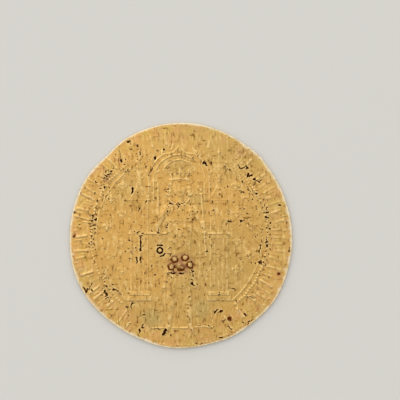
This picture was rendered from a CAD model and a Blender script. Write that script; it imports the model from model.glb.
# A worn hammered gold coin lying face up on a pale table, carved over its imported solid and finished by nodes.
import bpy
import math
import numpy as np
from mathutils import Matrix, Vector


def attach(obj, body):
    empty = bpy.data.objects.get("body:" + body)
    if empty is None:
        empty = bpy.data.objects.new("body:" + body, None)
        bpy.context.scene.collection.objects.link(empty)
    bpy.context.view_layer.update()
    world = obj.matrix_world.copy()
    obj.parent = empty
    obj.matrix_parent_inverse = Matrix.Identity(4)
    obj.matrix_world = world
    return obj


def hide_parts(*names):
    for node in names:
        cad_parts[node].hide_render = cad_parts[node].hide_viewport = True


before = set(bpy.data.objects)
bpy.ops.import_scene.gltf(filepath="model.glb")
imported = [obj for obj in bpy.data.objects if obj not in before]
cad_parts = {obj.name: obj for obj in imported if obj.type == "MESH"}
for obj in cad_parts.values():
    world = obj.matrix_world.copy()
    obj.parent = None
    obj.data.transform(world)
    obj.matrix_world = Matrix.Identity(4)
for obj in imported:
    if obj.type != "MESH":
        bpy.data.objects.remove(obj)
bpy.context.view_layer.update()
print("frame loaded")

mm = 0.001  # sizes are in millimetres here and turn to metres in the mesh

# The relief is carved on square sheets of heights, one for each die.
sheet = {
    "half": 14.7,  # reach of the sheet from the coin's centre
    "cell": 0.03,  # spacing of the heights
}
cells = int(round(2 * sheet["half"] / sheet["cell"])) + 1
sheetAxis = np.linspace(-sheet["half"], sheet["half"], cells)


def newDie(offset):
    return {"x": sheetAxis - offset[0], "y": sheetAxis - offset[1], "h": np.zeros((cells, cells))}


def smooth(t):
    t = np.clip(t, 0, 1)
    return t * t * (3 - 2 * t)


def polar(radius, degrees):
    a = math.radians(degrees)
    return np.array([radius * math.cos(a), radius * math.sin(a)])


def window(die, points, reach):
    p = np.asarray(points, float)
    x0, x1 = np.searchsorted(die["x"], [p[:, 0].min() - reach, p[:, 0].max() + reach])
    y0, y1 = np.searchsorted(die["y"], [p[:, 1].min() - reach, p[:, 1].max() + reach])
    gx, gy = np.meshgrid(die["x"][x0:x1], die["y"][y0:y1])
    return (slice(y0, y1), slice(x0, x1)), gx, gy


def put(die, area, heights, how):
    h = die["h"]
    if how == "raise":
        h[area] = np.maximum(h[area], heights)
    elif how == "over":  # stands on whatever is there
        h[area] += heights
    else:
        h[area] -= heights


def lineShare(gx, gy, points, radius, endRadius):
    # distance from a line, in units of its tapering half width
    p = np.asarray(points, float)
    run = np.concatenate([[0], np.cumsum(np.hypot(*np.diff(p, axis=0).T))])
    best = np.full(gx.shape, 1e9)
    for i in range(len(p) - 1):
        d = p[i + 1] - p[i]
        t = np.clip(((gx - p[i, 0]) * d[0] + (gy - p[i, 1]) * d[1]) / max(d @ d, 1e-12), 0, 1)
        away = np.hypot(gx - p[i, 0] - t * d[0], gy - p[i, 1] - t * d[1])
        share = (run[i] + t * (run[i + 1] - run[i])) / max(run[-1], 1e-9)
        best = np.minimum(best, away / (radius + (endRadius - radius) * share))
    return best


def rod(die, points, radius, height, endRadius=None, how="raise", crown="round"):
    endRadius = radius if endRadius is None else endRadius
    area, gx, gy = window(die, points, max(radius, endRadius) + 0.05)
    n = lineShare(gx, gy, points, radius, endRadius)
    form = np.sqrt(np.clip(1 - n * n, 0, 1)) if crown == "round" else smooth((1 - n) / 0.45)
    put(die, area, height * form, how)


def egg(die, centre, halfWidth, halfLength, height, turn=0, how="raise", power=0.5):
    area, gx, gy = window(die, [centre], max(halfWidth, halfLength) + 0.05)
    c, s = math.cos(math.radians(turn)), math.sin(math.radians(turn))
    dx, dy = gx - centre[0], gy - centre[1]
    n2 = ((dx * c + dy * s) / halfWidth) ** 2 + ((dy * c - dx * s) / halfLength) ** 2
    put(die, area, height * np.clip(1 - n2, 0, 1) ** power, how)


def insideDistance(gx, gy, outline):
    # distance to an outline, positive inside it
    p = np.asarray(outline, float)
    best = np.full(gx.shape, 1e9)
    inside = np.zeros(gx.shape, bool)
    for (ax, ay), (bx, by) in zip(p, np.roll(p, -1, axis=0)):
        dx, dy = bx - ax, by - ay
        t = np.clip(((gx - ax) * dx + (gy - ay) * dy) / max(dx * dx + dy * dy, 1e-12), 0, 1)
        best = np.minimum(best, np.hypot(gx - ax - t * dx, gy - ay - t * dy))
        if ay != by:
            inside ^= ((ay > gy) != (by > gy)) & (gx < dx * (gy - ay) / dy + ax)
    return np.where(inside, best, -best)


def plate(die, outline, height, bevel=0.1, how="raise", swell=0):
    area, gx, gy = window(die, outline, 0.05)
    d = insideDistance(gx, gy, outline)
    put(die, area, height * smooth(d / bevel + 0.25) + swell * smooth(d / (6 * bevel)), how)


def block(die, left, right, low, high, height, bevel=0.08):
    plate(die, [(left, low), (right, low), (right, high), (left, high)], height, bevel)


def rounded(points, times=3, closed=True):
    # cuts the corners of a hand-set line until it is smooth
    p = np.asarray(points, float)
    for _ in range(times):
        q = np.roll(p, -1, axis=0)
        cut = np.stack([0.75 * p + 0.25 * q, 0.25 * p + 0.75 * q], 1).reshape(-1, 2)
        p = cut if closed else np.vstack([p[:1], cut[:-2], p[-1:]])
    return p


def mirrored(rightHalf):
    return list(rightHalf) + [(-x, y) for x, y in reversed(rightHalf) if x > 1e-9]


def placed(points, at, size=1, turn=0):
    c, s = math.cos(math.radians(turn)) * size, math.sin(math.radians(turn)) * size
    return [(at[0] + x * c - y * s, at[1] + x * s + y * c) for x, y in points]


def arcLine(centre, radius, start, end, step=3):
    count = max(2, int(abs(end - start) / step) + 1)
    return [tuple(np.array(centre) + polar(radius, a)) for a in np.linspace(start, end, count)]


ornament = {
    "legendInner": 11.75,
    "legendOuter": 13.45,
    "legendPitch": 4.6,  # degrees from stroke to stroke
    "strokeHalfWidth": 0.16,
    "strokeHeight": 0.105,
    "strokeWorn": (0, 0.7, 0.25, 0.1, 0.85, 0.4, 0),  # how much of each stroke's length has gone
    "lilyPetal": mirrored([(0, 0.60), (0.10, 0.40), (0.15, 0.26), (0.10, 0.06), (0.05, -0.12)]),
    "lilyFoot": mirrored([(0, -0.14), (0.08, -0.20), (0.19, -0.42), (0.07, -0.37), (0, -0.50)]),
    "lilyCurl": [(0.05, -0.12), (0.12, 0.10), (0.26, 0.22), (0.39, 0.17), (0.42, 0.03), (0.34, -0.03)],
}


def lily(die, at, size, height, turn=0, how="raise"):
    # a middle petal, two curling side petals, a band and a spread foot
    plate(die, placed(ornament["lilyPetal"], at, size, turn), height, 0.09 * size, how)
    plate(die, placed(ornament["lilyFoot"], at, size, turn), height * 0.8, 0.07 * size, how)
    for side in (1, -1):
        curl = rounded([(side * x, y) for x, y in ornament["lilyCurl"]], 2, closed=False)
        rod(die, placed(curl, at, size, turn), 0.055 * size, height * 0.7, 0.085 * size, how)
    rod(die, placed([(-0.17, -0.16), (0.17, -0.16)], at, size, turn), 0.055 * size, height * 1.05, how=how)
    groove = placed([(0, 0.42), (0, 0.04)], at, size, turn)
    rod(die, groove, 0.06 * size, height * 0.6, how="cut")


def legendStrokes(die, arcs, pitch):
    # worn wedges where the words stood, leaning this way and that, none of which makes a letter
    for start, end in arcs:
        for i in range(int((end - start) / pitch) + 1):
            angle = start + i * pitch + 0.2 * pitch * math.sin(5.3 * i + end)
            wobble = math.sin(2.4 * i + start)
            lean = 0.35 * math.sin(1.7 * i)
            inner, outer = ornament["legendInner"] + 0.12 * wobble, ornament["legendOuter"] - 0.12 * wobble
            worn = ornament["strokeWorn"][i % len(ornament["strokeWorn"])]
            if i % 2:
                inner += worn
            else:
                outer -= worn
            foot, head = polar(inner, angle - lean), polar(outer, angle + lean)
            middle = (foot + head) / 2
            half = ornament["strokeHalfWidth"] * (1 + 0.25 * wobble)
            high = ornament["strokeHeight"] * (0.8 + 0.3 * wobble + 0.3 * math.sin(3.7 * i + end))
            rod(die, [middle, foot], half * 0.75, high, half * 1.1, crown="flat")
            rod(die, [middle, head], half * 0.75, high, half * 1.35, crown="flat")
            # a slight short dash between one stroke and the next, side by side with them
            at, between = inner + 0.35 + 0.3 * math.sin(4.3 * i), angle + 0.48 * pitch
            rod(die, [polar(at, between), polar(at + 0.6, between)], half * 0.5, high * 0.7, half * 0.6)


def ringLine(die, radius, arcs, halfWidth, height):
    for start, end in arcs:
        rod(die, arcLine((0, 0), radius, start, end, 2), halfWidth, height)


def beadRing(die, radius, arcs, pitch, size, height):
    for start, end in arcs:
        for i in range(int((end - start) / pitch) + 1):
            drift = 0.05 * math.sin(5.1 * i)
            egg(die, polar(radius + drift, start + i * pitch), size, size, height * (1 + drift))


front = {
    "offset": (-0.22, -0.06),  # the die struck a little off the middle of the flan
    "field": 0.40,  # height of the field over the table
    "lineRadius": 10.57,
    "beadRadius": 11.2,
    "borderRadius": 13.9,
    "towerAt": 5.05,
    "towerFoot": -7.0,
    "towerTop": 4.6,
    "bandLow": 0.18,
    "bandHigh": 0.46,
    "archSpring": 7.1,
    "archInner": 3.15,
    "archOuter": 3.85,
    "archApex": 11.4,
    "lilySize": 1.25,
}


def carveTower(die, side):
    at, foot, top = side * front["towerAt"], front["towerFoot"], front["towerTop"]
    block(die, at - 1.55, at + 1.55, foot - 1.25, foot - 0.62, 0.10)
    block(die, at - 1.35, at + 1.35, foot - 0.62, foot, 0.13)
    block(die, at - 1.15, at + 1.15, foot, top, 0.055)
    for x in (-1.05, -0.52, 0, 0.52, 1.05):  # shafts between tall narrow lights
        rod(die, [(at + x, foot), (at + x, top)], 0.11, 0.12)
    for high in (front["bandLow"], top):
        for x in (-0.79, -0.26, 0.26, 0.79):  # a small pointed head over each light
            tip = (at + x, high - 0.15)
            rod(die, [(at + x - 0.26, high - 0.6), tip, (at + x + 0.26, high - 0.6)], 0.07, 0.11)
    block(die, at - 1.42, at + 1.42, front["bandLow"], front["bandHigh"], 0.16)
    block(die, at - 1.38, at + 1.38, top - 0.1, top + 0.15, 0.15)
    gable = [(at - 1.15, top + 0.15), (at, top + 2.1), (at + 1.15, top + 0.15)]
    plate(die, gable, 0.09, 0.08)
    rod(die, gable, 0.1, 0.14)
    egg(die, (at, top + 0.75), 0.28, 0.28, 0.13)
    rod(die, [(at, top + 1.5), (at, 10.6)], 0.36, 0.16, 0.1)
    for y in (7.3, 8.0, 8.7, 9.4):  # leaf knobs up the spire
        reach = 0.42 - 0.05 * (y - 7.3)
        for s in (1, -1):
            rod(die, [(at + s * 0.15, y - 0.08), (at + s * reach, y + 0.12)], 0.11, 0.12, 0.13)
    egg(die, (at, 10.65), 0.24, 0.22, 0.15)
    rod(die, [(at, 10.7), (at, 11.2)], 0.11, 0.13, 0.05)


def carveCanopy(die):
    top = (0, front["archSpring"])
    inner, outer, apex, foot = (front[k] for k in ("archInner", "archOuter", "archApex", "towerTop"))
    rise = arcLine(top, outer, 0, 60, 6)
    ogee = [(0.95, apex - 0.85), (0.35, apex - 0.4), (0, apex + 0.1)]
    outside = mirrored([(outer, foot)] + rise + ogee)
    opening = [(inner, foot)] + arcLine(top, inner, 0, 180, 6) + [(-inner, foot)]
    plate(die, outside + opening[::-1], 0.07, 0.08)
    outerLine = [p for p in outside if p[0] >= 0]
    for side in (1, -1):
        rod(die, [(side * x, y) for x, y in outerLine], 0.13, 0.15)
    moulding = [(inner + 0.1, foot)] + arcLine(top, inner + 0.1, 0, 180, 4) + [(-inner - 0.1, foot)]
    rod(die, moulding, 0.12, 0.14)
    rod(die, arcLine((0, 7.5), 2.2, 24, 156, 4), 0.1, 0.12)  # the cusped inner arch
    for side in (1, -1):
        start, end = (78, -50) if side > 0 else (102, 230)
        rod(die, arcLine((side * 2.42, 7.45), 0.78, start, end, 8), 0.1, 0.12)
        egg(die, (side * 1.95, 8.35), 0.17, 0.17, 0.14)
        for angle in (12, 34, 56, 76):  # leaf knobs along the back of the arch
            x, y = polar(outer + 0.16, angle)
            tipX, tipY = polar(outer + (0.62 if angle > 70 else 0.42), angle + 4)
            leaf = [(side * x, top[1] + y), (side * tipX, top[1] + tipY)]
            rod(die, leaf, 0.13, 0.13, 0.19)
    rod(die, [(0, apex), (0, 12.1)], 0.13, 0.13)
    lily(die, (0, 12.35), 1.15, 0.14)


def carveFigure(die):
    robe = [(0.62, 4.2), (1.35, 3.95), (2.05, 3.35), (1.72, 1.9), (1.42, -0.6), (1.45, -2.2), (1.75, -4.5),
            (2.35, -6.55), (1.75, -6.8), (1.2, -6.5), (0.6, -6.85), (0, -6.55)]
    robe = [(x + 0.05, y) for x, y in mirrored(robe)]
    # legs under the robe
    for x, knee, ankle, toe in ((-0.98, -1.02, -1.24, -2.0), (1.12, 1.18, 1.42, 2.08)):
        rod(die, [(x, -6.3), (knee, -8.5)], 0.6, 0.15, 0.48)
        rod(die, [(knee, -8.5), (ankle, -11.45)], 0.5, 0.15, 0.22)
        rod(die, [(ankle, -11.35), (toe, -12.6)], 0.33, 0.14, 0.08)
        egg(die, (knee, -8.55), 0.4, 0.42, 0.19)
        rod(die, [(knee - 0.3, -9.0), (knee + 0.3, -9.0)], 0.07, 0.18)
        rod(die, [(ankle - 0.2, -11.2), (ankle + 0.2, -11.2)], 0.06, 0.16)
    plate(die, rounded(robe, 2), 0.12, 0.1, swell=0.05)
    for x in (-1.5, -1.0, -0.5, 0.1, 0.65, 1.15, 1.65):  # skirt folds opening downward
        rod(die, [(x * 0.72, -4.8), (x * 1.28, -6.6)], 0.1, 0.04, 0.17, how="over")
    rod(die, [(-1.68, -4.62), (1.8, -4.58)], 0.2, 0.18)  # belt of small plates
    for i in range(9):
        egg(die, (-1.5 + 0.39 * i, -4.6), 0.13, 0.15, 0.05, how="over")
    for x, y in ((-0.62, 1.55), (0.72, 1.55), (0.05, 0.15), (-0.7, -1.15), (0.8, -1.15)):
        lily(die, (x, y), 0.98, 0.05, how="over")
    for x, y in ((-1.02, -3.89), (-0.56, -2.94), (0.73, -2.76), (1.37, -3.65), (0.21, -3.89)):
        size = 0.48 if x == 0.21 else 0.4
        egg(die, (x, y), size, size, 0.07, how="over")
        egg(die, (x, y), size * 0.45, size * 0.45, 0.05, how="over")
    # a short cape with a scalloped edge
    cape = mirrored([(0.7, 4.25), (1.3, 4.0), (2.0, 3.45), (1.95, 3.0), (1.5, 2.62), (1.12, 2.9), (0.75, 2.55),
                     (0.37, 2.85), (0, 2.5)])
    plate(die, cape, 0.17, 0.1, swell=0.02)
    for x in (-1.35, -0.7, 0, 0.7, 1.35):
        egg(die, (x, 3.35 - 0.05 * abs(x)), 0.17, 0.17, 0.04, how="over")
    rod(die, arcLine((0, 5.4), 1.45, 210, 330, 6), 0.1, 0.2)


def carveArms(die):
    for shoulder, elbow, wrist, hand in (
        ((-1.8, 3.45), (-2.75, 1.35), (-2.52, -0.3), (-2.5, -0.6)),
        ((1.85, 3.45), (2.95, 1.7), (3.15, 0.75), (3.2, 0.45)),
    ):
        rod(die, [shoulder, elbow], 0.5, 0.17, 0.4)
        rod(die, [elbow, wrist], 0.4, 0.18, 0.26)
        egg(die, elbow, 0.36, 0.34, 0.21)
        egg(die, hand, 0.34, 0.36, 0.2)
        for k in range(4):  # fingers closed round the grip
            y = hand[1] + 0.21 - 0.14 * k
            rod(die, [(hand[0] - 0.26, y), (hand[0] + 0.26, y)], 0.06, 0.04, how="over")
    # sword: blade with a middle ridge, cross guard, grip and wheel pommel
    plate(die, [(-2.86, 0.35), (-2.44, 0.35), (-2.52, 6.3), (-2.7, 7.05), (-2.88, 6.3)], 0.09, 0.12)
    rod(die, [(-2.65, 0.4), (-2.7, 6.7)], 0.09, 0.14, 0.05)
    rod(die, [(-3.65, 0.34), (-2.6, 0.28), (-1.65, 0.34)], 0.13, 0.17)
    rod(die, [(-2.58, 0.25), (-2.44, -1.4)], 0.14, 0.16)
    egg(die, (-2.43, -1.81), 0.43, 0.43, 0.15, power=0.3)
    egg(die, (-2.43, -1.81), 0.2, 0.2, 0.2)
    # sceptre with a lily head
    rod(die, [(3.4, -2.4), (2.82, 5.3)], 0.13, 0.15, 0.11)
    egg(die, (2.81, 5.35), 0.26, 0.17, 0.17)
    egg(die, (3.4, -2.45), 0.18, 0.18, 0.15)
    lily(die, (2.78, 6.1), 1.1, 0.15)


face = {
    # an even oval face of the maker's own: eyes half way down, nose to the third quarter, mouth below it
    "centre": (0, 6.1),
    "halfWidth": 0.86,
    "halfHeight": 1.18,
    "height": 0.21,
}


def carveHead(die):
    cx, cy = face["centre"]
    w, h = face["halfWidth"], face["halfHeight"]
    rod(die, [(cx, 4.1), (cx, 5.2)], 0.5, 0.16, 0.46)
    for side in (1, -1):  # hair falling in waves to a curl at the jaw
        for k, (x, y, r) in enumerate(((0.95, 7.0, 0.3), (1.16, 6.6, 0.32), (1.2, 6.15, 0.32), (1.24, 5.7, 0.34))):
            egg(die, (cx + side * x, y), r, r * 0.95, 0.16 + 0.01 * k)
        egg(die, (cx + side * 1.38, 5.32), 0.34, 0.3, 0.19)
        egg(die, (cx + side * 1.4, 5.32), 0.14, 0.12, 0.05, how="cut")
        for k in range(3):
            lock = [(cx + side * (0.9 + 0.14 * k), 7.05), (cx + side * (1.05 + 0.13 * k), 6.2),
                    (cx + side * (1.1 + 0.14 * k), 5.5)]
            rod(die, rounded(lock, 2, closed=False), 0.05, 0.03, how="over")
    egg(die, (cx, cy), w, h, face["height"], power=0.4)
    for side in (1, -1):
        egg(die, (cx + side * 0.34, cy + 0.08), 0.21, 0.13, 0.035, how="cut")  # eye socket
        egg(die, (cx + side * 0.34, cy + 0.06), 0.13, 0.075, 0.04, how="over")
        rod(die, arcLine((cx + side * 0.34, cy - 0.02), 0.27, 40, 140, 20), 0.05, 0.025, how="over")
        egg(die, (cx + side * 0.4, cy - 0.35), 0.22, 0.2, 0.015, how="over")
    rod(die, [(cx, cy + 0.12), (cx, cy - 0.28)], 0.07, 0.03, 0.12, how="over")
    egg(die, (cx, cy - 0.33), 0.15, 0.1, 0.025, how="over")
    rod(die, [(cx - 0.22, cy - 0.58), (cx + 0.22, cy - 0.58)], 0.04, 0.03, how="cut")
    rod(die, [(cx - 0.15, cy - 0.68), (cx + 0.15, cy - 0.68)], 0.05, 0.02, how="over")
    egg(die, (cx, cy - 0.93), 0.2, 0.14, 0.02, how="over")
    # crown: a jewelled band and three leaves
    band = [(cx - 1.15, 7.15), (cx, 7.3), (cx + 1.15, 7.15)]
    rod(die, band, 0.2, 0.22)
    for x, y, tip in ((0, 7.4, 0.2), (0.95, 7.35, 0.55), (-0.95, 7.35, -0.55)):
        rod(die, [(cx + x, y), (cx + x + tip * 0.4, y + 0.75)], 0.14, 0.2, 0.1)
        egg(die, (cx + x + tip * 0.45, y + 0.98), 0.13, 0.24, 0.2, turn=-30 * tip)
        for side in (1, -1):
            egg(die, (cx + x + tip * 0.4 + side * 0.22, y + 0.7), 0.15, 0.11, 0.18)
    for x in (0.5, -0.5):
        rod(die, [(cx + x, 7.4), (cx + x * 1.1, 7.85)], 0.09, 0.18, 0.12)
    for x in (-0.9, -0.45, 0, 0.45, 0.9):
        egg(die, (cx + x, 7.25 - 0.08 * abs(x)), 0.11, 0.09, 0.04, how="over")


def carveFront():
    die = newDie(front["offset"])
    ringLine(die, front["lineRadius"], ((-51, 59), (121, 231)), 0.1, 0.07)
    beadRing(die, front["beadRadius"], ((-50.5, 59), (121, 230.5)), 2.0, 0.17, 0.11)
    beadRing(die, front["borderRadius"], ((-100, -35), (60, 130)), 1.9, 0.17, 0.06)
    legendStrokes(die, ((-60, 56), (71, 83), (97, 109), (124, 240)), ornament["legendPitch"])
    for x in (-1, 1):
        carveTower(die, x)
        for k, y in enumerate((6.35, 2.8, -0.76, -4.35)):
            lily(die, (x * (7.3 - (0.12 if k == 0 else 0)), y), front["lilySize"], 0.15)
        for dx, y in ((8.65, 4.7), (9.2, 1.15), (8.95, -2.5)):
            lily(die, (x * dx, y), front["lilySize"], 0.15)
    carveCanopy(die)
    for line in ([(-3.6, -11.7), (-1.5, -11.62)], [(-0.85, -11.66), (1.05, -11.66)],
                 [(1.9, -11.6), (3.1, -11.45), (4.1, -11.62)]):
        rod(die, line, 0.12, 0.1)
    carveFigure(die)
    carveArms(die)
    carveHead(die)
    return die


back = {
    "offset": (0.16, 0.12),
    "field": 0.13,  # height of the lowered field over the table
    "lobeOut": 4.9,
    "lobeRadius": 4.55,
}


def carveBack():
    die = newDie((-back["offset"][0], back["offset"][1]))  # seen from below, left and right change places
    ringLine(die, front["lineRadius"], ((0, 360),), 0.14, 0.12)
    beadRing(die, front["beadRadius"], ((0, 358),), 2.0, 0.16, 0.1)
    legendStrokes(die, ((4, 352),), 2 * ornament["legendPitch"])
    for turn in (0, 90, 180, 270):
        def turned(points):
            return placed(points, (0, 0), 1, turn)

        rod(die, turned(arcLine((back["lobeOut"], 0), back["lobeRadius"], -95, 95, 4)), 0.15, 0.12)
        rod(die, turned(arcLine((back["lobeOut"], 0), back["lobeRadius"] - 0.45, -90, 90, 4)), 0.09, 0.08)
        arm = mirrored([(0, 0.1), (0.34, 0.2), (0.24, 1.2), (0.3, 3.6), (0.34, 5.6), (0, 5.9)])
        plate(die, turned(arm), 0.12, 0.1)
        rod(die, turned([(0, 0.6), (0, 5.4)]), 0.07, 0.03, how="cut")
        lily(die, polar(6.9, turn + 90), 2.1, 0.12, turn)
        for side in (1, -1):
            leaf = [(0.25 * side, 3.5), (0.9 * side, 3.75), (1.5 * side, 4.15), (1.75 * side, 4.75)]
            rod(die, turned(rounded(leaf, 2, closed=False)), 0.22, 0.12, 0.13)
            egg(die, turned([(1.72 * side, 4.85)])[0], 0.27, 0.27, 0.12)
            egg(die, turned([(0.85 * side, 4.35)])[0], 0.3, 0.22, 0.11)
        lily(die, polar(4.1, turn + 45), 1.5, 0.11, turn - 45)
        for radius, aside, size, height in ((9.1, 0, 0.42, 0.12), (9.0, -7, 0.24, 0.11), (9.0, 7, 0.24, 0.11)):
            egg(die, polar(radius, turn + 45 + aside), size, size, height)
    egg(die, (0, 0), 0.8, 0.8, 0.13, power=0.2)
    egg(die, (0, 0), 0.35, 0.35, 0.04, how="cut")
    return die


def blurred(field, size):
    # a soft blur over a number of millimetres
    fy, fx = np.fft.fftfreq(cells, sheet["cell"]), np.fft.rfftfreq(cells, sheet["cell"])
    fall = np.exp(-2 * (math.pi * size) ** 2 * (fy[:, None] ** 2 + fx[None, :] ** 2))
    return np.fft.irfft2(np.fft.rfft2(field) * fall, s=field.shape)


def clouds(seed, size):
    # soft unevenness of that grain, from about -2 to 2
    rough = blurred(np.random.default_rng(seed).standard_normal((cells, cells)), size)
    return rough / rough.std()


wear = {
    "soften": 0.035,  # how far the strike and the wear have rounded every edge
    "frontKept": 0.66,  # share of the carved height that wear has left
    "backKept": 0.75,
    "unevenness": 0.45,  # some patches are flatter than others
    "patchSize": 1.3,
    "gnawing": 0.4,  # how far small nicks eat into every line
    "nickSize": 0.22,
    # places where the front is struck or worn almost flat: (x, y, half width, half height, share lost)
    "flat": (
        (-5.4, 3.0, 2.0, 5.0, 0.55), (0, 12.6, 6.0, 1.9, 0.6), (0, 5.6, 3.0, 3.4, 0.2), (-6.5, 10.0, 2.0, 2.0, 0.4),
    ),
    "swells": ((2.2, 0.003), (0.5, 0.0011), (0.09, 0.0003)),  # warp, hammering and grain: (size, depth)
    "deepest": 0.05,  # no hollow goes further below the field
}


def finishDie(die, seed, limit, kept, flat=()):
    lost = newDie((0, 0))
    for x, y, halfWidth, halfHeight, share in flat:
        egg(lost, (x, y), halfWidth, halfHeight, share, power=1)
    h = blurred(die["h"], wear["soften"]) * kept * (1 - lost["h"])
    h = h * (1 - wear["unevenness"] * smooth(0.5 + 0.4 * clouds(seed, wear["patchSize"])))
    h = h * (1 - wear["gnawing"] * smooth(0.4 + 0.5 * clouds(seed + 4, wear["nickSize"])))
    for k, (size, depth) in enumerate(wear["swells"]):
        h = h + depth * clouds(seed + 1 + k, size)
    return np.clip(h, -wear["deepest"], limit)


frontDie = carveFront()
backDie = carveBack()
print("both faces carved")

coin = {
    "grid": 440,  # squares across each face before thinning out
    "triangles": 196000,
    "emphasis": 0.1,  # how much higher the spots stand while the net is thinned out
    "reliefEmphasis": 1.3,
    "backEmphasis": 0.7,
    "edge": 0.11,  # how far in from the rim the edge starts to round over
    # the edge's rounding: (in from the rim, down from the face)
    "profile": ((0.070, 0.006), (0.035, 0.022), (0.012, 0.055), (0.0, 0.10)),
    "frontTop": 0.284,  # tallest relief over the front field
    "restsWithin": 13.5,  # the back's relief inside this radius carries the coin
    "frontAbove": 0.3,  # heights over the table that tell the front, the back and the side apart
    "backBelow": 0.2,
    "middle": 0.27,
    "rimLine": 0.105,  # width of the pale worn line round the rim
    "sideLine": 0.35,  # how much of that line the hammered side keeps
}

rim = {
    "band": 0.94,  # the solid's points beyond this share of its radius, and clear of both fields, are its rim
    "clear": 0.03,
    "inset": 0.02,  # keeps the hammered rim inside the solid's own outline
    "overhang": 0.01,
    "dents": 0.012,
    "dentSmoothing": 30,
    "smoothing": 12,
}


def rimOutline():
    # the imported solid's own outline, as a radius for each half degree
    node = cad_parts["coin"].data
    points = np.empty(len(node.vertices) * 3)
    node.vertices.foreach_get("co", points)
    points = points.reshape(-1, 3) / mm
    radius = np.hypot(points[:, 0], points[:, 1])
    low, high = back["field"] + rim["clear"], front["field"] - rim["clear"]
    ring = points[(radius > radius.max() * rim["band"]) & (points[:, 2] > low) & (points[:, 2] < high)]
    turn = np.degrees(np.arctan2(ring[:, 1], ring[:, 0]))
    order = np.argsort(turn)
    angles = np.arange(-180, 180, 0.5)
    radii = np.interp(angles, turn[order], np.hypot(ring[order, 0], ring[order, 1]), period=360)
    rough = np.random.default_rng(5).standard_normal(len(angles))
    freq = np.fft.rfftfreq(len(angles))
    uneven = np.fft.irfft(np.fft.rfft(rough) * np.exp(-((freq * rim["dentSmoothing"]) ** 2)), len(angles))
    even = np.fft.irfft(np.fft.rfft(radii) * np.exp(-((freq * rim["smoothing"]) ** 2)), len(angles))
    dents = rim["dents"] * np.clip(uneven / uneven.std(), 0, 3)
    return angles, np.minimum(even, radii + rim["overhang"]) - rim["inset"] - dents


rimAngles, rimRadii = rimOutline()


def rimAt(x, y):
    return np.interp(np.degrees(np.arctan2(y, x)), rimAngles, rimRadii, period=360)


def sampled(field, x, y):
    # reads a sheet between its points
    fx = np.clip((x + sheet["half"]) / sheet["cell"], 0, cells - 1.001)
    fy = np.clip((y + sheet["half"]) / sheet["cell"], 0, cells - 1.001)
    i, j = fy.astype(int), fx.astype(int)
    s, t = fy - i, fx - j
    low = field[i, j] * (1 - t) + field[i, j + 1] * t
    high = field[i + 1, j] * (1 - t) + field[i + 1, j + 1] * t
    return low * (1 - s) + high * s


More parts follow.
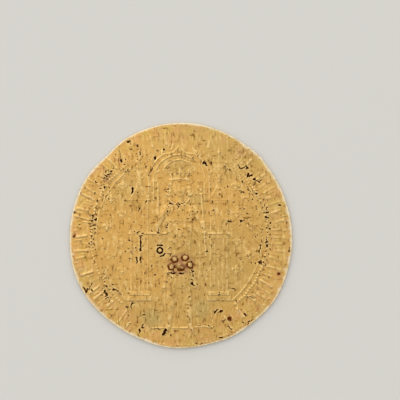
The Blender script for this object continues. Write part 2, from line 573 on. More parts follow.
dirt = {
    # dark earth left in the front's low places: (x, y, half width, half height)
    "blots": (
        (-6.64, 11.87, 0.24, 0.2), (-6.26, 11.0, 0.13, 0.12), (-5.51, 11.37, 0.13, 0.12),
        (-2.14, 11.01, 0.17, 0.15), (-3.1, 10.94, 0.1, 0.1), (-3.27, 9.95, 0.16, 0.15), (-8.35, 10.34, 0.11, 0.12),
        (-7.55, 9.5, 0.22, 0.17), (-7.03, 9.67, 0.12, 0.11), (-6.63, 9.9, 0.13, 0.14), (-7.1, 9.06, 0.16, 0.1),
        (-5.01, 10.66, 0.11, 0.1), (-4.87, 10.1, 0.1, 0.11), (-5.23, 9.31, 0.1, 0.1), (-4.37, 8.68, 0.1, 0.1),
        (-10.22, 6.04, 0.13, 0.12), (-10.42, 5.64, 0.14, 0.11), (-10.74, 6.79, 0.13, 0.11),
        (-10.58, 4.36, 0.15, 0.14), (-11.21, 4.28, 0.12, 0.12), (-9.82, 3.53, 0.12, 0.11),
        (-10.82, 3.01, 0.12, 0.11), (-11.1, 2.23, 0.12, 0.12), (-12.0, 2.16, 0.11, 0.1), (-11.67, 1.52, 0.11, 0.1),
        (-11.32, 1.38, 0.11, 0.11), (-10.61, 1.17, 0.11, 0.1), (-10.68, 0.18, 0.11, 0.12),
        (-13.55, 2.94, 0.15, 0.13), (-5.3, 3.36, 0.13, 0.24), (-8.91, 2.59, 0.08, 0.1), (1.49, 9.88, 0.18, 0.15),
        (8.56, 7.63, 0.24, 0.22), (9.16, 8.18, 0.1, 0.1), (7.09, 9.7, 0.1, 0.08), (5.1, 10.46, 0.12, 0.07),
        (12.58, 3.86, 0.2, 0.14), (12.75, 2.45, 0.1, 0.1), (0.85, 3.01, 0.16, 0.1), (2.67, 4.8, 0.12, 0.12),
        (4.9, 5.28, 0.1, 0.12), (-1.8, 5.63, 0.09, 0.1), (-0.41, 2.87, 0.1, 0.1), (1.49, 2.09, 0.09, 0.09),
        (-0.88, -0.98, 0.09, 0.08), (3.14, -0.38, 0.09, 0.09), (6.02, -0.42, 0.12, 0.1), (3.9, -3.82, 0.09, 0.09),
        (-5.61, -5.12, 0.16, 0.14), (-8.63, -6.25, 0.14, 0.13), (-6.7, -6.24, 0.16, 0.12),
        (-7.14, -6.4, 0.11, 0.09), (-11.25, -7.0, 0.15, 0.14), (-6.85, -9.13, 0.16, 0.12),
        (-8.77, -10.2, 0.11, 0.11), (-4.73, -10.15, 0.22, 0.13), (-6.69, -10.23, 0.1, 0.08),
        (-1.61, -11.18, 0.13, 0.14), (-1.26, -12.67, 0.1, 0.08), (-3.1, -12.98, 0.08, 0.08),
        (-1.12, -6.15, 0.13, 0.11), (-0.86, -6.44, 0.08, 0.08), (1.06, -7.78, 0.1, 0.12), (0.99, -9.27, 0.12, 0.1),
        (1.27, -11.96, 0.17, 0.13), (6.16, -5.98, 0.24, 0.13), (7.01, -8.4, 0.15, 0.14), (4.4, -9.66, 0.2, 0.16),
        (7.15, -10.94, 0.13, 0.1), (8.0, -11.04, 0.16, 0.09), (6.37, -11.96, 0.13, 0.13),
        (9.63, -0.13, 0.15, 0.08), (12.86, -1.41, 0.12, 0.14), (10.13, -3.46, 0.11, 0.1), (9.46, -3.46, 0.12, 0.1),
        (8.99, -3.4, 0.12, 0.09), (-8.83, 8.19, 0.2, 0.17), (-8.95, 7.88, 0.12, 0.12), (-9.2, 7.82, 0.18, 0.13),
        (-9.08, 7.52, 0.1, 0.12), (-9.45, 7.55, 0.16, 0.14), (-9.62, 7.2, 0.18, 0.12), (-9.35, 7.2, 0.09, 0.11),
        (-9.85, 6.95, 0.14, 0.12), (-9.5, 6.9, 0.08, 0.1), (-10.0, 6.5, 0.09, 0.1), (-8.55, 8.5, 0.12, 0.1),
        (-8.58, 7.85, 0.1, 0.09), (-9.83, -6.65, 0.14, 0.13), (-9.6, -7.0, 0.12, 0.13), (-9.6, -7.4, 0.15, 0.12),
        (-9.5, -7.68, 0.14, 0.12), (-10.11, -7.5, 0.13, 0.1), (-9.24, -7.92, 0.16, 0.14), (-8.9, -8.0, 0.16, 0.13),
        (-9.1, -8.28, 0.13, 0.12), (6.3, -10.38, 0.12, 0.12), (9.63, -4.74, 0.11, 0.12), (8.64, -2.6, 0.09, 0.11),
        (12.46, -4.88, 0.22, 0.17), (9.77, -9.25, 0.15, 0.12), (1.43, -5.3, 0.17, 0.12), (-1.9, -5.85, 0.09, 0.12),
        (0.69, -5.43, 0.11, 0.09), (1.85, -5.7, 0.09, 0.08),
    ),
    # short runs of earth, by half width
    "streaks": {
        0.05: (
            ((-9.97, -4.17), (-9.19, -5.59)), ((9.82, -3.46), (10.44, -3.44)), ((10.13, -3.15), (10.12, -3.8)),
            ((9.92, -3.25), (10.34, -3.68)), ((9.92, -3.66), (10.34, -3.22)),
        ),
        0.06: (
            ((-7.23, 7.95), (-6.04, 8.87)), ((5.58, 8.91), (6.45, 8.15)), ((7.41, 7.47), (8.13, 6.56)),
            ((8.4, 6.12), (9.28, 4.92)), ((8.36, 2.84), (8.76, 2.73)), ((-4.28, -7.7), (-4.28, -8.5)),
            ((-3.67, -11.78), (-2.11, -11.78)), ((2.12, -11.4), (3.4, -11.38), (4.53, -11.82)),
            ((10.27, -0.5), (9.99, -2.75)), ((-1.6, -4.68), (-1.3, -4.74)),
        ),
        0.07: (
            ((-5.06, 0.25), (-5.1, -3.6)), ((-3.17, 0.29), (-2.32, 0.29)), ((-3.31, 9.03), (-4.17, 7.61)),
            ((-9.06, 5.64), (-9.58, 4.77)), ((-1.4, 1.73), (-1.15, 1.73)), ((-6.25, -8.6), (-6.22, -9.25)),
            ((1.2, -4.66), (1.75, -4.58)), ((0.35, -4.7), (0.65, -4.6)),
        ),
        0.08: (
            ((-2.82, 0.75), (-2.82, 0.35)), ((2.12, 10.3), (2.2, 9.95)), ((7.45, 3.45), (7.77, 3.6), (8.13, 3.43)),
            ((0.78, -9.84), (1.13, -10.97)), ((4.96, -9.7), (5.3, -9.45)), ((4.89, -10.76), (5.6, -10.7)),
            ((6.02, -11.5), (6.5, -12.1)), ((8.5, -11.2), (9.2, -10.65)), ((13.76, -1.5), (13.74, -2.3)),
            ((1.77, -13.6), (2.69, -13.6)),
        ),
        0.09: (
            ((-5.9, 0.27), (-5.35, 0.3), (-4.7, 0.22)), ((-1.71, 3.1), (-1.71, 2.62)),
            ((7.29, 8.87), (7.69, 8.46), (8.29, 8.83), (8.53, 8.55)),
            ((8.92, 7.71), (9.48, 7.15), (9.92, 6.8), (10.3, 7.05)), ((7.61, 5.44), (8.04, 5.52)),
            ((-12.02, -7.15), (-11.7, -6.7), (-11.25, -6.01)), ((-8.2, -6.86), (-7.63, -7.5)),
            ((8.43, -7.75), (8.62, -7.6)), ((8.78, -7.82), (9.35, -7.95)), ((6.3, -6.58), (6.94, -6.79)),
        ),
        0.1: (
            ((-5.08, -0.6), (-5.11, -1.9)), ((-5.1, -2.7), (-5.12, -3.5)), ((-1.42, 4.07), (-0.95, 4.05)),
            ((-0.42, 4.03), (0.3, 4.08)), ((6.05, 1.81), (6.5, 1.85)), ((7.65, 1.83), (8.05, 1.87)),
            ((-12.35, -6.6), (-12.02, -7.15)), ((8.2, -9.98), (8.5, -10.33)),
            ((1.55, -5.85), (1.32, -6.08), (1.72, -6.3)), ((4.82, -13.0), (5.6, -12.85)),
        ),
        0.11: (
            ((-5.61, -2.75), (-5.61, -3.5)), ((4.32, -9.75), (4.67, -9.48)),
        ),
        0.12: (
            ((2.9, 9.27), (3.3, 9.03)), ((-5.3, -12.15), (-4.8, -11.7)),
        ),
        0.13: (
            ((-0.2, -4.76), (0.3, -4.72)), ((-1.2, -4.74), (-0.82, -4.7)),
        ),
        0.14: (
            ((-6.1, 6.0), (-6.2, 5.45)), ((-1.9, -12.03), (-2.28, -12.6)),
        ),
    },
    # scattered spots: (x, y, half width, half height, how many)
    "crusts": (
        (-9.35, 7.6, 0.55, 0.75, 26), (-5.6, 9.9, 1.3, 1.5, 16), (10.95, 3.2, 0.3, 1.5, 22),
        (9.45, 6.1, 0.3, 0.9, 10), (11.1, -1.2, 0.35, 1.4, 22), (10.1, -3.5, 0.4, 0.5, 12),
        (-11.1, 1.0, 0.4, 2.2, 16), (-11.5, -1.5, 0.5, 1.0, 14), (-9.55, -7.4, 0.5, 0.7, 22),
        (-6.3, -8.9, 0.5, 0.4, 8), (1.5, -5.2, 0.3, 0.7, 10), (-1.2, -5.2, 0.5, 0.9, 8), (5.0, -7.6, 0.6, 0.7, 12),
        (-0.3, 3.5, 1.2, 0.9, 9), (0, 0, 12.5, 12.5, 330),
    ),
    "crustSpot": 0.13,  # half width of a spot
    "crustReach": 13.6,
    "spread": (1.3, 1.4),  # how far the blots and the streaks have run beyond their own sizes
    # (x, y, radius, from, to, half width)
    "rings": (
        (-2.68, -1.87, 0.34, 0, 360, 0.12), (-2.68, -1.87, 0.77, 272, 328, 0.1), (-2.69, -2.2, 1.0, 71, 109, 0.11),
    ),
    "hairline": (0.07, 0.34),  # (half width, strength)
    # fine lines of earth along the ring inside the beads: (radius, from, to)
    "hairlines": (
        (10.3, 14, 40), (10.32, -14, 8), (10.3, 134, 153), (9.95, 139, 149), (10.85, 24, 36), (10.3, 205, 224),
    ),
    "faintLine": (0.075, 0.27),
    # faint lines down the sides of the legs and between the shafts of the right tower
    "faintLines": (
        ((-1.79, -8.8), (-1.66, -11.3)), ((-0.6, -8.9), (-1.35, -11.3)), ((0.67, -8.8), (1.15, -11.3)),
        ((1.9, -8.8), (1.46, -11.3)), ((-1.4, -11.6), (-2.4, -12.5)), ((4.26, -0.3), (4.26, -6.5)),
        ((4.79, -0.3), (4.79, -6.5)), ((5.31, -0.3), (5.31, -6.5)), ((5.84, -0.3), (5.84, -6.5)),
        ((4.26, 4.2), (4.26, 0.7)), ((4.79, 4.2), (4.79, 0.7)), ((5.31, 4.2), (5.31, 0.7)),
        ((5.84, 4.2), (5.84, 0.7)),
    ),
    # where earth still fills the gaps between the beads, in degrees
    "beadGaps": ((146, 199), (206, 222), (-24, 30)),
    "beadGapStep": 1.65,
    "beadGapAside": 0.2,
    "beadGapSize": (0.19, 0.14),
    # pits where the earth has gone red: (x, y, radius)
    "redPits": (
        (6.16, -10.54, 0.34), (12.46, -4.86, 0.24), (-13.6, -0.1, 0.2), (8.56, 7.63, 0.2), (-7.55, 9.5, 0.16),
    ),
    "studRings": (
        (-0.8, -3.0, 0.4), (0.52, -2.8, 0.4), (1.15, -3.7, 0.4), (-1.22, -3.93, 0.4), (-0.01, -3.93, 0.5),
    ),
    # reddish corrosion and mauve tarnish: (x, y, half width, half height, strength)
    "stains": (
        (6.18, -10.6, 0.36, 0.36, 1), (-13.65, -0.1, 0.3, 0.35, 0.8), (12.5, -4.85, 0.35, 0.3, 0.9),
        (-0.05, -3.6, 1.85, 1.5, 0.75), (-0.03, -3.85, 1.0, 0.9, 1), (-9.3, 7.6, 0.7, 0.9, 0.6),
        (-13.3, 5.5, 0.5, 1.8, 0.3), (8.5, 10.6, 1.6, 0.8, 0.3), (-12.9, -4.7, 0.4, 0.8, 0.4),
        (10.0, -9.1, 0.4, 0.4, 0.5), (-8.8, -10.2, 0.2, 0.2, 0.7),
    ),
    # grey green tarnish, in the same way
    "tarnish": (
        (-3.7, -10.6, 1.5, 1.6, 1), (2.7, -9.5, 1.1, 1.5, 1), (1.9, 4.6, 1.6, 1.2, 0.6),
        (-0.3, 8.6, 2.4, 1.6, 0.6),
    ),
    "frayed": 0.07,  # how far the edges of the spots wander
    "depth": 0.012,  # the spots are shallow pits
}


def frayed(field, seed, share=1.0):
    # pushes a drawing about, so that its edges turn uneven
    x, y = np.meshgrid(sheetAxis, sheetAxis)
    reach = dirt["frayed"] * share
    return sampled(field, x + reach * clouds(seed, 0.1), y + reach * clouds(seed + 1, 0.1))


def paintDirt():
    dark, rust, mauve, green, bright = (newDie((0, 0)) for _ in range(5))
    rng = np.random.default_rng(8)
    blotSpread, streakSpread = dirt["spread"]
    for x, y, halfWidth, halfHeight, count in dirt["crusts"]:
        drawn = rng.normal(0, 0.5, count), rng.normal(0, 0.5, count), rng.uniform(0.35, 1.1, count)
        for dx, dy, scale in zip(*drawn):
            size, stretch = dirt["crustSpot"] * scale, rng.uniform(0.6, 1.7)
            spot = (x + dx * halfWidth, y + dy * halfHeight)
            if math.hypot(*spot) < dirt["crustReach"]:
                egg(dark, spot, size * stretch, size / stretch, 0.4 + 0.35 * scale, power=0.8)
    for x, y, halfWidth, halfHeight in dirt["blots"]:
        strength, turn = rng.uniform(0.4, 0.72), rng.uniform(-30, 30)
        egg(dark, (x, y), halfWidth * blotSpread, halfHeight * blotSpread, strength, turn, power=0.8)
    for width, lines in dirt["streaks"].items():
        for points in lines:
            rod(dark, points, width * streakSpread, 0.38 + streakSpread * width)
    for radius, start, end in dirt["hairlines"]:
        rod(dark, arcLine((0, 0), radius, start, end), *dirt["hairline"])
    for points in dirt["faintLines"]:
        rod(dark, points, *dirt["faintLine"])
    for start, end in dirt["beadGaps"]:
        for k, angle in enumerate(np.arange(start, end, dirt["beadGapStep"])):
            aside = dirt["beadGapAside"] * (1 if k % 2 else -1)  # now on one side of the beads, now on the other
            place = polar(front["beadRadius"] + aside + rng.uniform(-0.07, 0.07), angle)
            egg(dark, place, *dirt["beadGapSize"], rng.uniform(0.35, 0.7), angle + 90, power=0.8)
    dark["h"] = frayed(dark["h"], 79) * smooth(1.0 + 0.4 * clouds(79, 0.12))
    for x, y, radius, start, end, width in dirt["rings"]:
        rod(dark, arcLine((x, y), radius, start, end, 10), width, 1)
    for x, y, halfWidth, halfHeight, strength in dirt["stains"]:
        egg(mauve, (x, y), halfWidth, halfHeight, strength, power=0.35)
    for x, y, radius in dirt["studRings"]:
        middle = radius > 0.4  # the middle stud is sunk in the stain, and only its lower side shows
        thin, thick = ((190, 350), (220, 320)) if middle else ((0, 360), (170, 370))
        rod(rust, arcLine((x, y), radius, *thin, 10), 0.1, 0.6)
        rod(rust, arcLine((x, y), radius, *thick, 10), 0.15, 1)
        if not middle:
            egg(mauve, (x, y), radius * 0.75, radius * 0.75, 0.45, how="cut")
            egg(bright, (x, y + 0.04), radius * 0.7, radius * 0.7, 1, power=0.3)
    x, y, radius = dirt["rings"][0][:3]
    egg(bright, (x, y), 0.8 * radius, 0.8 * radius, 1, power=0.3)
    for x, y, radius in dirt["redPits"]:
        egg(rust, (x, y), radius, radius * 0.9, 1)
    for x, y, halfWidth, halfHeight, strength in dirt["tarnish"]:
        egg(green, (x, y), halfWidth, halfHeight, strength, power=1)
    return {
        "dark": np.clip(dark["h"], 0, 1),
        "rust": np.clip(frayed(rust["h"], 83, 0.4), 0, 1),
        "mauve": blurred(np.clip(mauve["h"], 0, 1), 0.07) * smooth(0.8 + 0.45 * clouds(78, 0.13)),
        "green": blurred(green["h"], 0.2),
        "bright": blurred(bright["h"], 0.05),
    }


signs = {
    # what the heights say about a place: (reach in millimetres, where it starts, how soon it is full)
    "hollow": (0.07, 0.004, 0.02),  # earth gathers below the metal around it
    "raised": (0.2, 0.003, 0.025),  # hands rub what stands above the metal around it
    "halo": (0.14, 0.06, 0.2),  # gold rubbed bright round each spot
    "dark": (0.12, 0.45),  # (where it starts, how soon it is full)
    "rust": (0.2, 0.5),
    "hollowShare": 0.7,
    "haloShare": 0.8,
    "dullShare": 0.5,
}


def faceMaps(height, marks, seed):
    # where dirt gathers, where hands have rubbed, and where the gold has gone dull
    reach, start, full = signs["hollow"]
    hollow = smooth((blurred(height, reach) - height - start) / full) * signs["hollowShare"]
    kept = smooth(0.35 + 0.6 * clouds(seed, 0.9))
    reach, start, full = signs["raised"]
    raised = smooth((height - blurred(height, reach) - start) / full)
    dark = smooth((marks["dark"] - signs["dark"][0]) / signs["dark"][1])
    reach, start, full = signs["halo"]
    halo = smooth((blurred(dark, reach) - start) / full) * (1 - dark)
    dull = smooth(0.3 + 0.35 * clouds(seed + 1, 2.2)) * signs["dullShare"]
    return {
        "grime": np.clip(hollow * kept + dark, 0, 1),
        "rust": smooth((marks["rust"] - signs["rust"][0]) / signs["rust"][1]),
        "stain": np.clip(marks["mauve"], 0, 1),
        "rubbed": np.clip(raised + signs["haloShare"] * halo + marks["bright"], 0, 1),
        "dull": np.clip(dull + marks["green"], 0, 1),
    }


marks = paintDirt()
unmarked = dict.fromkeys(marks, np.zeros((cells, cells)))
pits = marks["dark"] + marks["rust"]
frontHeight = finishDie(frontDie, 11, coin["frontTop"], wear["frontKept"], wear["flat"])
frontHeight = frontHeight - dirt["depth"] * smooth(pits)
backHeight = finishDie(backDie, 31, back["field"], wear["backKept"])
inside = np.hypot(*np.meshgrid(sheetAxis, sheetAxis)) < coin["restsWithin"]
backRests = backHeight[inside].max()  # the back's tallest parts lie on the table
frontMaps, backMaps = faceMaps(frontHeight, marks, 51), faceMaps(backHeight, unmarked, 61)
print("wear and dirt laid on")


def frontSurface(x, y):
    return front["field"] + sampled(frontHeight, x, y)


def backSurface(x, y):
    # the back's sheet is drawn as seen from below, so left and right change places
    return np.clip(backRests - sampled(backHeight, -x, y), 0, None)


def thinningSurface(x, y):
    # the spots stand out more here, so that thinning out keeps enough points to show them
    return front["field"] + sampled(coin["reliefEmphasis"] * frontHeight + coin["emphasis"] * pits, x, y)


def discGrid(n):
    # a square net of points stretched to the rim's outline
    u, v = np.meshgrid(np.linspace(-1, 1, n + 1), np.linspace(-1, 1, n + 1))
    wide = np.abs(u) > np.abs(v)
    radius = np.where(wide, u, v)
    slope = math.pi / 4 * np.where(wide, v, u) / np.where(radius == 0, 1, radius)
    angle = np.where(wide, slope, math.pi / 2 - slope)
    x, y = radius * np.cos(angle), radius * np.sin(angle)
    reach = rimAt(x, y) - coin["edge"]
    return x * reach, y * reach


def coinMesh():
    n = coin["grid"]
    x, y = discGrid(n)
    faceCount = (n + 1) ** 2
    top = np.stack([x, y, thinningSurface(x, y)], -1).reshape(-1, 3)
    under = np.stack([x, y, coin["backEmphasis"] * backSurface(x, y)], -1).reshape(-1, 3)
    index = np.arange(faceCount).reshape(n + 1, n + 1)
    quads = np.stack([index[:-1, :-1], index[:-1, 1:], index[1:, 1:], index[1:, :-1]], -1).reshape(-1, 4)
    border = np.concatenate([index[0, :-1], index[:-1, -1], index[-1, :0:-1], index[:0:-1, 0]])
    bx, by = top[border, 0], top[border, 1]
    length = np.hypot(bx, by)
    rings, points = [border], [top, under]
    levels = [(a, b, 1) for a, b in coin["profile"]] + [(a, b, -1) for a, b in reversed(coin["profile"])]
    for k, (inward, down, face) in enumerate(levels):
        scale = (rimAt(bx, by) - inward) / length
        level = frontSurface(bx, by) - down if face > 0 else backSurface(bx, by) + down
        points.append(np.stack([bx * scale, by * scale, level], -1))
        rings.append(2 * faceCount + k * len(border) + np.arange(len(border)))
    rings.append(border + faceCount)
    band = [np.stack([a, b, np.roll(b, -1), np.roll(a, -1)], -1) for a, b in zip(rings[:-1], rings[1:])]
    faces = np.concatenate([quads, quads[:, ::-1] + faceCount, *band])
    points = np.concatenate(points)
    mesh = bpy.data.meshes.new("coinStruck")
    mesh.vertices.add(len(points))
    mesh.vertices.foreach_set("co", points.astype(np.float32).ravel())
    mesh.loops.add(faces.size)
    mesh.loops.foreach_set("vertex_index", faces.astype(np.int32).ravel())
    mesh.polygons.add(len(faces))
    mesh.polygons.foreach_set("loop_start", np.arange(0, faces.size, 4, dtype=np.int32))
    mesh.update(calc_edges=True)
    return mesh


def thinnedOut(piece):
    # fewer triangles where the metal is flat, and none lost where the earth and the rust lie
    x, y, z = vertexPoints(piece.data).T
    marked = sampled(blurred(smooth(pits * 4), 0.05), x, y) > 0.2
    clearOfRim = rimAt(x, y) - np.hypot(x, y) > 0.2
    kept = np.flatnonzero(marked & (z > coin["frontAbove"]) & clearOfRim)
    piece.vertex_groups.new(name="marks").add(kept.tolist(), 1.0, "REPLACE")
    print("points kept round the marks:", len(kept))
    reduce = piece.modifiers.new("thin out", "DECIMATE")
    reduce.ratio = coin["triangles"] / (2 * len(piece.data.polygons))
    reduce.vertex_group = "marks"
    reduce.invert_vertex_group = True
    reduce.use_collapse_triangulate = True
    mesh = bpy.data.meshes.new_from_object(piece.evaluated_get(bpy.context.evaluated_depsgraph_get()))
    piece.modifiers.clear()
    piece.vertex_groups.clear()
    piece.data = mesh
    return mesh


def vertexPoints(mesh):
    co = np.empty(len(mesh.vertices) * 3, np.float32)
    mesh.vertices.foreach_get("co", co)
    return co.reshape(-1, 3).astype(float)


def dressMesh(mesh):
    # heights, smooth shading, wear maps and the flat texture layout, all read from the two sheets
    p = vertexPoints(mesh)
    x, y, z = p.T.copy()
    fromRim = rimAt(x, y) - np.hypot(x, y)
    within = fromRim > coin["edge"] * 0.98
    onTop, onBack = within & (z > coin["frontAbove"]), within & (z < coin["backBelow"])
    p[onTop, 2] = frontSurface(x[onTop], y[onTop])
    p[onBack, 2] = backSurface(x[onBack], y[onBack])
    mesh.vertices.foreach_set("co", p.astype(np.float32).ravel())
    mesh.update()
    normals = np.empty(len(p) * 3, np.float32)
    mesh.vertex_normals.foreach_get("vector", normals)
    normals = normals.reshape(-1, 3)
    for height, part, side in ((frontHeight, onTop, 1), (backHeight, onBack, -1)):
        alongY, alongX = (sampled(slope, side * x, y) for slope in np.gradient(height, sheet["cell"]))
        normals[part] = np.stack([-alongX, -side * alongY, np.full_like(x, side)], -1)[part]
    normals /= np.linalg.norm(normals, axis=1, keepdims=True)
    mesh.polygons.foreach_set("use_smooth", np.ones(len(mesh.polygons), bool))
    mesh.normals_split_custom_set_from_vertices(normals)
    z = p[:, 2]
    values = {
        name: np.where(z > coin["middle"], sampled(frontMaps[name], x, y), sampled(backMaps[name], -x, y))
        for name in frontMaps
    }
    onFace = smooth((z - front["field"] + 0.14) / 0.1)  # the hammered side is duller
    values["edge"] = smooth(2 - fromRim / coin["rimLine"]) * (coin["sideLine"] + (1 - coin["sideLine"]) * onFace)
    for name, value in values.items():
        mesh.attributes.new(name, "FLOAT", "POINT").data.foreach_set("value", value.astype(np.float32))
    layOutTexture(mesh, p)


texture = {
    "perMillimetre": 0.0194,  # share of the texture sheet that one millimetre takes
    "front": (0.287, 0.713),  # the middle of each face on the sheet
    "back": (0.713, 0.287),
    "flat": 0.3,  # how far a triangle may tilt before it belongs to the edge
    "strips": 8,  # the edge is cut in strips that lie beside the faces
    "stripsFrom": (0.012, 0.02),
    "stripLength": 0.235,
    "stripApart": 0.022,
}


def layOutTexture(mesh, p):
    # the two faces lie corner to corner on the sheet, and the strips of the edge beside them
    size = texture["perMillimetre"]
    loops = np.empty(len(mesh.loops), np.int32)
    mesh.loops.foreach_get("vertex_index", loops)
    q = p[loops.reshape(-1, 3)]
    facing = np.empty(len(mesh.polygons) * 3, np.float32)
    mesh.polygons.foreach_get("normal", facing)
    facing = facing.reshape(-1, 3)[:, 2]
    uv = np.zeros((len(q), 3, 2))
    up, down = facing > texture["flat"], facing < -texture["flat"]
    side = ~(up | down)
    uv[up] = np.array(texture["front"]) + q[up][:, :, :2] * size
    uv[down] = np.array(texture["back"]) + q[down][:, :, :2] * size * np.array([-1, 1])
    around = np.arctan2(q[side][:, :, 1], q[side][:, :, 0]) / (2 * math.pi) + 0.5
    middle = around[:, :1]
    around = around + np.round(middle - around)
    strip = np.floor(middle * texture["strips"])
    startU, startV = texture["stripsFrom"]
    uv[side, :, 0] = startU + (around * texture["strips"] - strip) * texture["stripLength"]
    uv[side, :, 1] = startV + strip * texture["stripApart"] + q[side][:, :, 2] * size
    mesh.uv_layers.new(name="OFBake").data.foreach_set("uv", uv.astype(np.float32).ravel())


def buildCoin():
    piece = bpy.data.objects.new("coin_struck", coinMesh())
    bpy.context.scene.collection.objects.link(piece)
    print("coin net made:", len(piece.data.polygons), "faces")
    mesh = thinnedOut(piece)
    dressMesh(mesh)
    p = vertexPoints(mesh) * mm
    mesh.vertices.foreach_set("co", p.astype(np.float32).ravel())
    mesh.update()
    print("coin thinned out:", len(mesh.polygons), "triangles")
    return piece


def linear(code):
    # an sRGB hex colour as the linear one that a node takes
    parts = [int(code[i:i + 2], 16) / 255 for i in (1, 3, 5)]
    return tuple(c / 12.92 if c <= 0.04045 else ((c + 0.055) / 1.055) ** 2.4 for c in parts) + (1.0,)


def addNode(tree, kind, inputs, out=0, **settings):
    # an input is either another node's output or a plain value
    node = tree.nodes.new("ShaderNode" + kind)
    for name, value in settings.items():
        setattr(node, name, value)
    for socket, value in inputs.items():
        if isinstance(value, bpy.types.NodeSocket):
            tree.links.new(value, node.inputs[socket])
        else:
            node.inputs[socket].default_value = value
    return node if out is None else node.outputs[out]


def perMillimetre(size):
    # the noise scale whose lumps are that many millimetres across
    return 1 / (size * mm)


gold = {
    "face": "#DDAF63",
    "deep": "#CC9C52",
    # laid over the clean metal one by one: (where, share, colour)
    "layers": (
        ("pinkish", 0.6, "#DFA76A"),  # the margin runs to pink and to lemon
        ("lemon", 0.35, "#D9B85E"),
        ("dull", 0.6, "#B5A164"),
        ("bright", 1.0, "#F2D08C"),  # rubbed metal
        ("stain", 0.85, "#9C6450"),
        ("rust", 0.95, "#5E2400"),
        ("thinSoil", 1.0, "#6A3A00"),
        ("thickSoil", 1.0, "#2A0800"),
        ("worn", 1.0, "#F7E6C0"),  # the pale line round the rim
    ),
    "roughness": 0.36,
    "roughnessGrime": 0.75,
    "grainDepth": 0.008,
    "scratchDepth": 0.002,
    "marginStarts": 11.3,
    # cloudy patterns: (millimetres across, detail, roughness, shift in metres, turn, stretch, range)
    # flecks and pores are coarser than the real ones, which would be too fine to show
    "patterns": {
        "cloud": (5.0, 3.0, 0.5, 0.0, 0.0, (1, 1), (0.35, 0.65)),
        "mottle": (0.6, 5.0, 0.6, 0.0, 0.0, (1, 1), (0.3, 0.7)),
        "grain": (0.22, 2.0, 0.5, 0.0, 0.0, (1, 1), (0.0, 1.0)),
        "pinkish": (1.4, 2.0, 0.5, 0.1, 0.0, (1, 1), (0.42, 0.62)),
        "lemon": (1.2, 2.0, 0.5, 0.2, 0.0, (1, 1), (0.48, 0.62)),
        "fleck": (0.3, 2.0, 0.5, 0.05, 0.0, (1, 0.35), (0.54, 0.7)),
        "pore": (0.3, 2.0, 0.5, 0.02, 0.0, (1, 0.35), (0.57, 0.72)),
        "levelPore": (0.3, 2.0, 0.5, 0.03, 0.0, (0.45, 1), (0.6, 0.74)),
        "crumb": (0.17, 3.0, 0.6, 0.04, 0.0, (1, 1), (0.3, 0.7, -0.45, 0.45)),
        "scratch": (0.16, 3.0, 0.6, 0.0, 0.7, (1, 0.06), (0.0, 1.0)),
    },
}


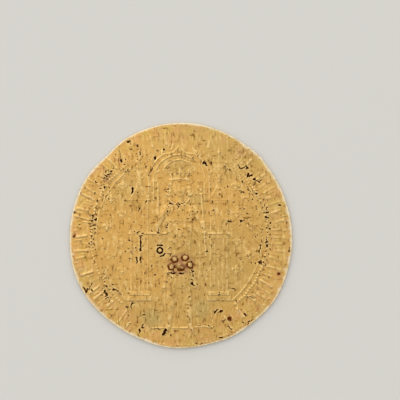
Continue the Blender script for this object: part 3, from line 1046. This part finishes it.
def struckGold():
    # soft hammered gold, struck and long handled: a satin metal, warm and even, with brown earth in its corners
    material = bpy.data.materials.new("struckGold")
    material.use_nodes = True
    tree = material.node_tree
    tree.nodes.clear()
    place = addNode(tree, "TexCoord", {}, "Object")
    have = {"outward": addNode(tree, "VectorMath", {0: place}, "Value", operation="LENGTH")}
    for name in ("grime", "rust", "stain", "rubbed", "dull", "edge"):
        have[name] = addNode(tree, "Attribute", {}, "Fac", attribute_name=name)
    for name, (size, detail, rough, shift, turn, stretch, levels) in gold["patterns"].items():
        mapping = {"Vector": place, "Location": (shift, shift, 0), "Rotation": (0, 0, turn), "Scale": (*stretch, 1)}
        noise = {"Vector": addNode(tree, "Mapping", mapping), "Scale": perMillimetre(size)}
        lumps = addNode(tree, "TexNoise", {**noise, "Detail": detail, "Roughness": rough}, "Fac")
        have[name] = addNode(tree, "MapRange", {0: lumps, **dict(enumerate(levels, 1))})

    # what is made from what: a range takes (source, from, to, lowest, highest), and the others take two values
    smoothest, addedByGrime = gold["roughness"] - 0.05, gold["roughnessGrime"] - gold["roughness"]
    for name, how, *inputs in (
        ("fineTone", "range", "grain", 0.3, 0.7),
        ("fineTone", "MULTIPLY", "fineTone", 0.3),
        ("tone", "MULTIPLY", "mottle", 0.4),
        ("tone", "ADD", "tone", "fineTone"),
        ("cloud", "MULTIPLY", "cloud", 0.3),
        ("tone", "ADD", "tone", "cloud"),
        ("margin", "range", "outward", gold["marginStarts"] * mm, (gold["marginStarts"] + 1) * mm),
        ("pinkish", "MULTIPLY", "pinkish", "margin"),
        ("lemon", "MULTIPLY", "lemon", "margin"),
        ("rubbed", "MULTIPLY", "rubbed", 0.7),
        ("fleck", "MULTIPLY", "fleck", 0.55),
        ("bright", "MAXIMUM", "rubbed", "fleck"),
        # crumbs of soil in the hollows, and a little in the pores of the open metal
        ("soil", "ADD", "grime", "crumb"),
        ("soil", "range", "soil", 0.3, 0.8),
        ("grime", "range", "grime", 0.02, 0.2),
        ("soil", "MULTIPLY", "soil", "grime"),
        ("pore", "MAXIMUM", "pore", "levelPore"),
        ("poreSoil", "range", "mottle", 0.2, 0.8, 0.1, 0.42),
        ("pore", "MULTIPLY", "pore", "poreSoil"),
        ("soil", "MAXIMUM", "soil", "pore"),
        ("thinSoil", "range", "soil", 0.0, 0.45),
        ("thickSoil", "range", "soil", 0.6, 1.0),
        ("worn", "range", "mottle", 0.2, 0.7, 0.45, 1.0),
        ("worn", "MULTIPLY", "worn", "edge"),
        ("roughness", "range", "mottle", 0.0, 1.0, smoothest, smoothest + 0.12),
        ("dullRoughness", "MULTIPLY", "dull", 0.08),
        ("roughness", "ADD", "roughness", "dullRoughness"),
        ("soilRoughness", "MULTIPLY", "soil", addedByGrime),
        ("roughness", "ADD", "roughness", "soilRoughness"),
        ("soilCover", "MULTIPLY", "soil", 0.03),
        ("wornCover", "MULTIPLY", "worn", 0.7),
        ("cover", "MAXIMUM", "soilCover", "wornCover"),
        ("metal", "SUBTRACT", 1.0, "cover"),
    ):
        sources = {socket: have.get(source, source) for socket, source in enumerate(inputs)}
        kind, settings = ("MapRange", {}) if how == "range" else ("Math", {"operation": how})
        have[name] = addNode(tree, kind, sources, **settings)

    colour = linear(gold["face"])
    for where, share, tint in (("tone", 1.0, gold["deep"]), *gold["layers"]):
        share = addNode(tree, "Math", {0: have[where], 1: share}, operation="MULTIPLY")
        colour = addNode(tree, "Mix", {0: share, 6: colour, 7: linear(tint)}, 2, data_type="RGBA")
    relief = addNode(tree, "Bump", {"Strength": 1.0, "Distance": gold["grainDepth"] * mm, "Height": have["grain"]})
    scratches = {"Distance": gold["scratchDepth"] * mm, "Height": have["scratch"], "Normal": relief}
    relief = addNode(tree, "Bump", {"Strength": 1.0, **scratches})
    surface = {"Base Color": colour, "Roughness": have["roughness"], "Metallic": have["metal"], "Normal": relief}
    shader = addNode(tree, "BsdfPrincipled", surface)
    addNode(tree, "OutputMaterial", {"Surface": shader}, None)
    return material


piece = buildCoin()
piece.data.materials.append(struckGold())
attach(piece, "root")
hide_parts("coin")
print("coin finished")

stage = {
    "tableSize": 1.2,  # metres
    "tableColour": "#D9D7D2",
    "tableRoughness": 0.6,
    "keySize": 0.5,
    "keyHeight": 0.55,
    "keyAside": (-0.12, 0.14),
    "keyPower": 0.12,
    "fillSize": 0.3,
    "fillPlace": (-0.5, 0.35, 0.35),
    "fillPower": 0.15,
    "air": "#F4F4F2",
    "airStrength": 1.0,
    "airLean": (-0.2, 0.65, 0),  # the room is brighter towards the top and left
}


def setStage():
    # matt pale table top: even, without any shine of its own
    mesh = bpy.data.meshes.new("table")
    half = stage["tableSize"] / 2
    mesh.from_pydata([(-half, -half, 0), (half, -half, 0), (half, half, 0), (-half, half, 0)], [], [(0, 1, 2, 3)])
    table = bpy.data.objects.new("table", mesh)
    bpy.context.scene.collection.objects.link(table)
    material = bpy.data.materials.new("mattTableTop")
    material.use_nodes = True
    shader = material.node_tree.nodes["Principled BSDF"]
    shader.inputs["Base Color"].default_value = linear(stage["tableColour"])
    shader.inputs["Roughness"].default_value = stage["tableRoughness"]
    mesh.materials.append(material)


def addSoftbox(name, place, size, power):
    light = bpy.data.lights.new(name, "AREA")
    light.shape = "DISK"
    light.size = size
    light.energy = power
    lamp = bpy.data.objects.new(name, light)
    lamp.location = place
    lamp.rotation_mode = "QUATERNION"
    lamp.rotation_quaternion = Vector(-np.array(place) / np.linalg.norm(place)).to_track_quat("-Z", "Y")
    bpy.context.scene.collection.objects.link(lamp)


def setLight():
    addSoftbox("overhead softbox", (*stage["keyAside"], stage["keyHeight"]), stage["keySize"], stage["keyPower"])
    addSoftbox("side softbox", stage["fillPlace"], stage["fillSize"], stage["fillPower"])
    world = bpy.data.worlds.new("studio air")
    world.use_nodes = True
    tree = world.node_tree
    background = tree.nodes["Background"]
    background.inputs["Color"].default_value = linear(stage["air"])
    around = addNode(tree, "TexCoord", {}, "Generated")
    lean = addNode(tree, "VectorMath", {0: around, 1: stage["airLean"]}, "Value", operation="DOT_PRODUCT")
    strength = stage["airStrength"]
    level = addNode(tree, "Math", {0: lean, 1: strength, 2: strength}, operation="MULTIPLY_ADD")
    tree.links.new(level, background.inputs["Strength"])
    bpy.context.scene.world = world


view = {
    "lens": 100,
    "height": 0.1416,  # metres over the table
    "aim": (2.42, 4.53),  # straight down on this place, so that the coin lies low and left in the frame
}


def setCamera():
    bpy.context.scene.view_settings.view_transform = "Standard"  # the gold keeps its own saturation
    camera = bpy.data.objects.new("camera", bpy.data.cameras.new("camera"))
    camera.data.lens = view["lens"]
    camera.data.clip_start = 0.01
    camera.location = (view["aim"][0] * mm, view["aim"][1] * mm, view["height"])
    bpy.context.scene.collection.objects.link(camera)
    bpy.context.scene.camera = camera


setStage()
setLight()
setCamera()
print("stage set")
